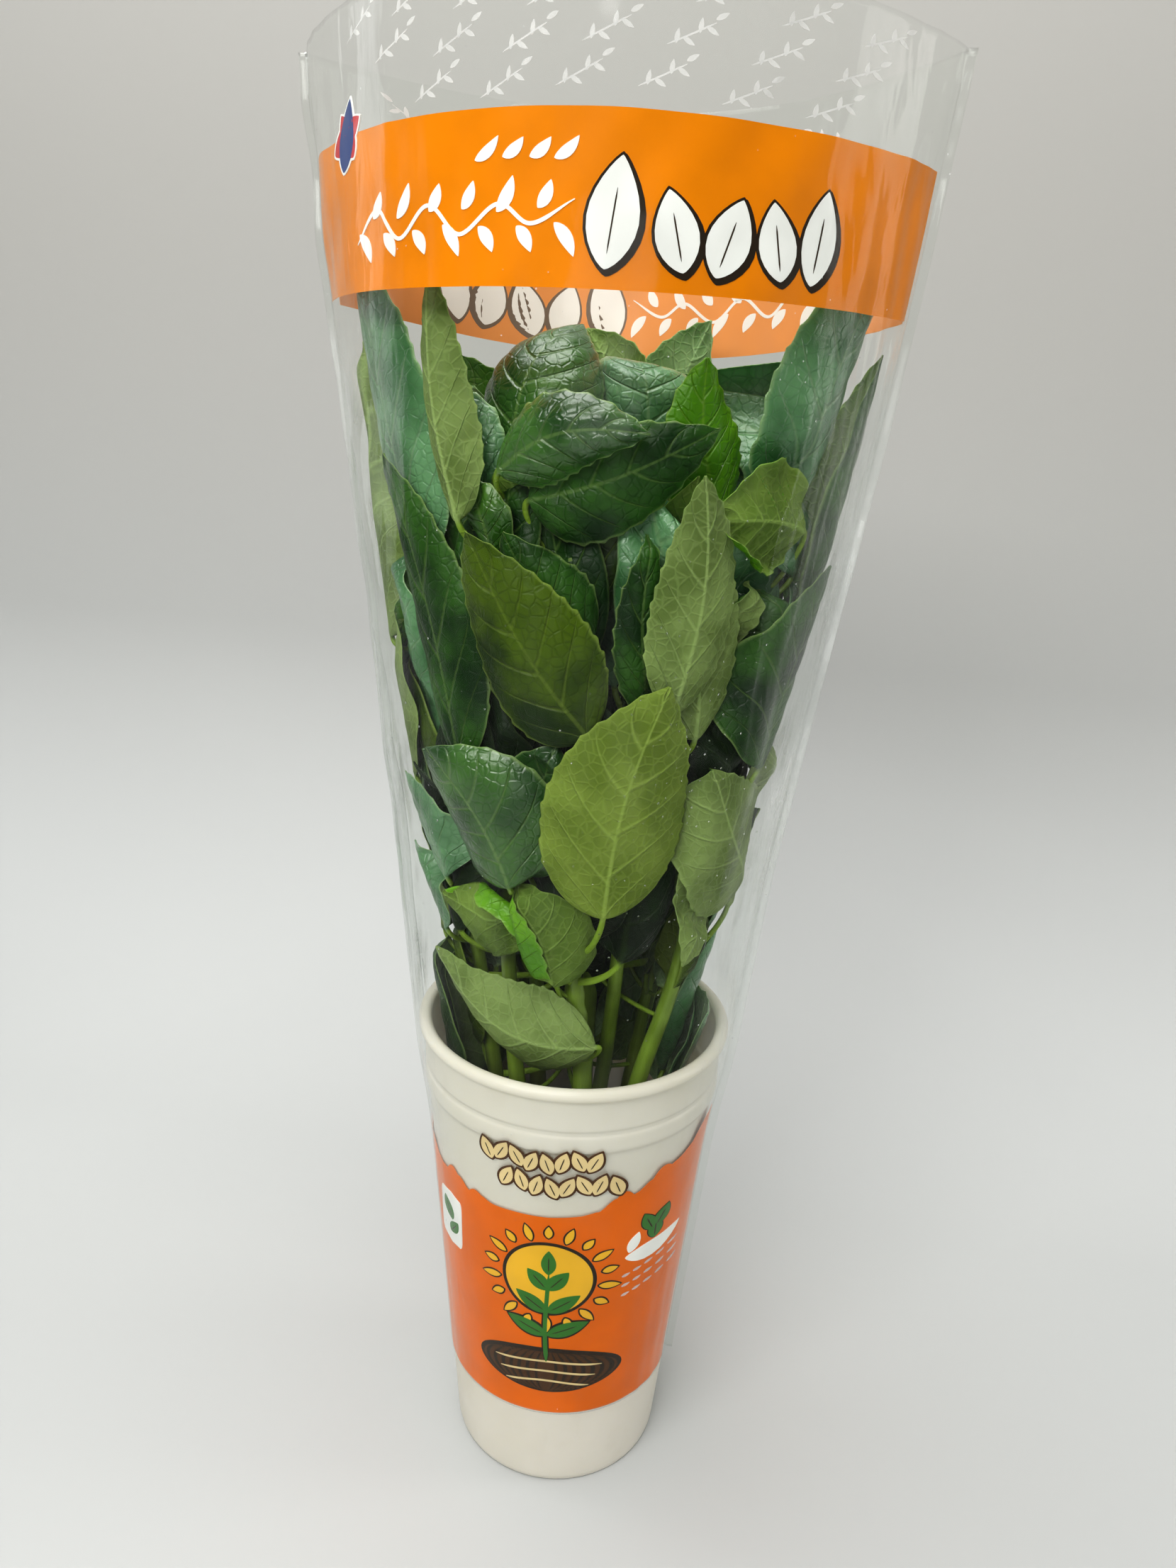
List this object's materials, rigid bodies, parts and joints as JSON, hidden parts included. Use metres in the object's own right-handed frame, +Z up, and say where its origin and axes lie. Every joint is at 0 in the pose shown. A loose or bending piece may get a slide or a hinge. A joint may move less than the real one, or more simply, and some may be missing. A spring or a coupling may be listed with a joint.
{
  "type": "potted basil bunch in a clear sleeve",
  "caption": "Living bunch of leafy basil stems standing in a tapered white cup, held upright inside a tall clear film sleeve that widens to an open top.",
  "frame": {"origin": "centre of the cup's foot, on the surface it stands on", "axes": "+Z up along the cup and sleeve; -Y is the front panel of the sleeve; X runs across it, from side seal to side seal"},
  "size_m": [0.181, 0.1368, 0.45],
  "materials": {
    "cup_plastic": "smooth off-white moulded plastic, slightly translucent",
    "clear_film": "thin clear glossy film with a hazy sheen and a printed orange band",
    "peat": "damp fibrous brown growing mix",
    "roots": "matted pale roots",
    "stem_green": "fresh pale green stem, satin",
    "leaf_upper": "dark green leaf upper side, waxy satin gloss with sunken veins",
    "leaf_under": "pale matt green leaf underside with raised veins"
  },
  "bodies": {
    "root": {"cup": "cup_plastic", "sleeve_front_film": "clear_film", "sleeve_back_film": "clear_film", "growing_plug": "peat", "root_mat": "roots", "stem_front": "stem_green", "stem_right": "stem_green", "stem_front_left": "stem_green", "stem_left": "stem_green", "stem_middle": "stem_green", "stem_front_right": "stem_green", "stem_back_left": "stem_green", "stem_back": "stem_green", "stem_back_right": "stem_green", "leaf_front_centre": "leaf_under", "leaf_front_tall": "leaf_under", "leaf_left_pale": "leaf_under", "leaf_low_front": "leaf_under", "leaf_left_centre": "leaf_upper", "leaf_right_low": "leaf_under", "leaf_right_hanging": "leaf_under", "leaf_left_fan": "leaf_upper", "leaf_small_front": "leaf_under", "leaf_crossing_top": "leaf_upper", "leaf_right_curled": "leaf_under", "leaf_tall_twin": "leaf_under", "leaf_left_long": "leaf_upper", "leaf_left_tall": "leaf_upper", "leaf_right_long": "leaf_upper", "leaf_small_left": "leaf_under", "leaf_crossing_dark": "leaf_upper", "leaf_left_edge": "leaf_under", "leaf_right_edge": "leaf_upper", "leaf_right_tall": "leaf_upper", "leaf_tall_shadow": "leaf_upper", "leaf_right_fan": "leaf_upper", "leaf_middle_left": "leaf_upper", "leaf_left_folded": "leaf_upper", "leaf_small_curled": "leaf_under", "leaf_quilted_left": "leaf_upper", "leaf_backlit": "leaf_upper", "leaf_upper_dark": "leaf_upper", "leaf_low_left": "leaf_upper", "leaf_low_left_edge": "leaf_upper", "leaf_domed": "leaf_upper", "leaf_quilted_right": "leaf_upper", "leaf_in_cup": "leaf_upper", "leaf_back_centre": "leaf_under", "leaf_back_high": "leaf_upper", "leaf_back_left_high": "leaf_under", "leaf_back_left_mid": "leaf_upper", "leaf_back_left_side": "leaf_upper", "leaf_back_right_high": "leaf_under", "leaf_back_right_mid": "leaf_upper", "leaf_back_right_side": "leaf_upper", "leaf_back_low": "leaf_upper", "leaf_back_left_low": "leaf_under", "leaf_back_right_low": "leaf_under", "leaf_back_left_top": "leaf_upper", "leaf_back_crown": "leaf_upper"}
  },
  "joints": []
}
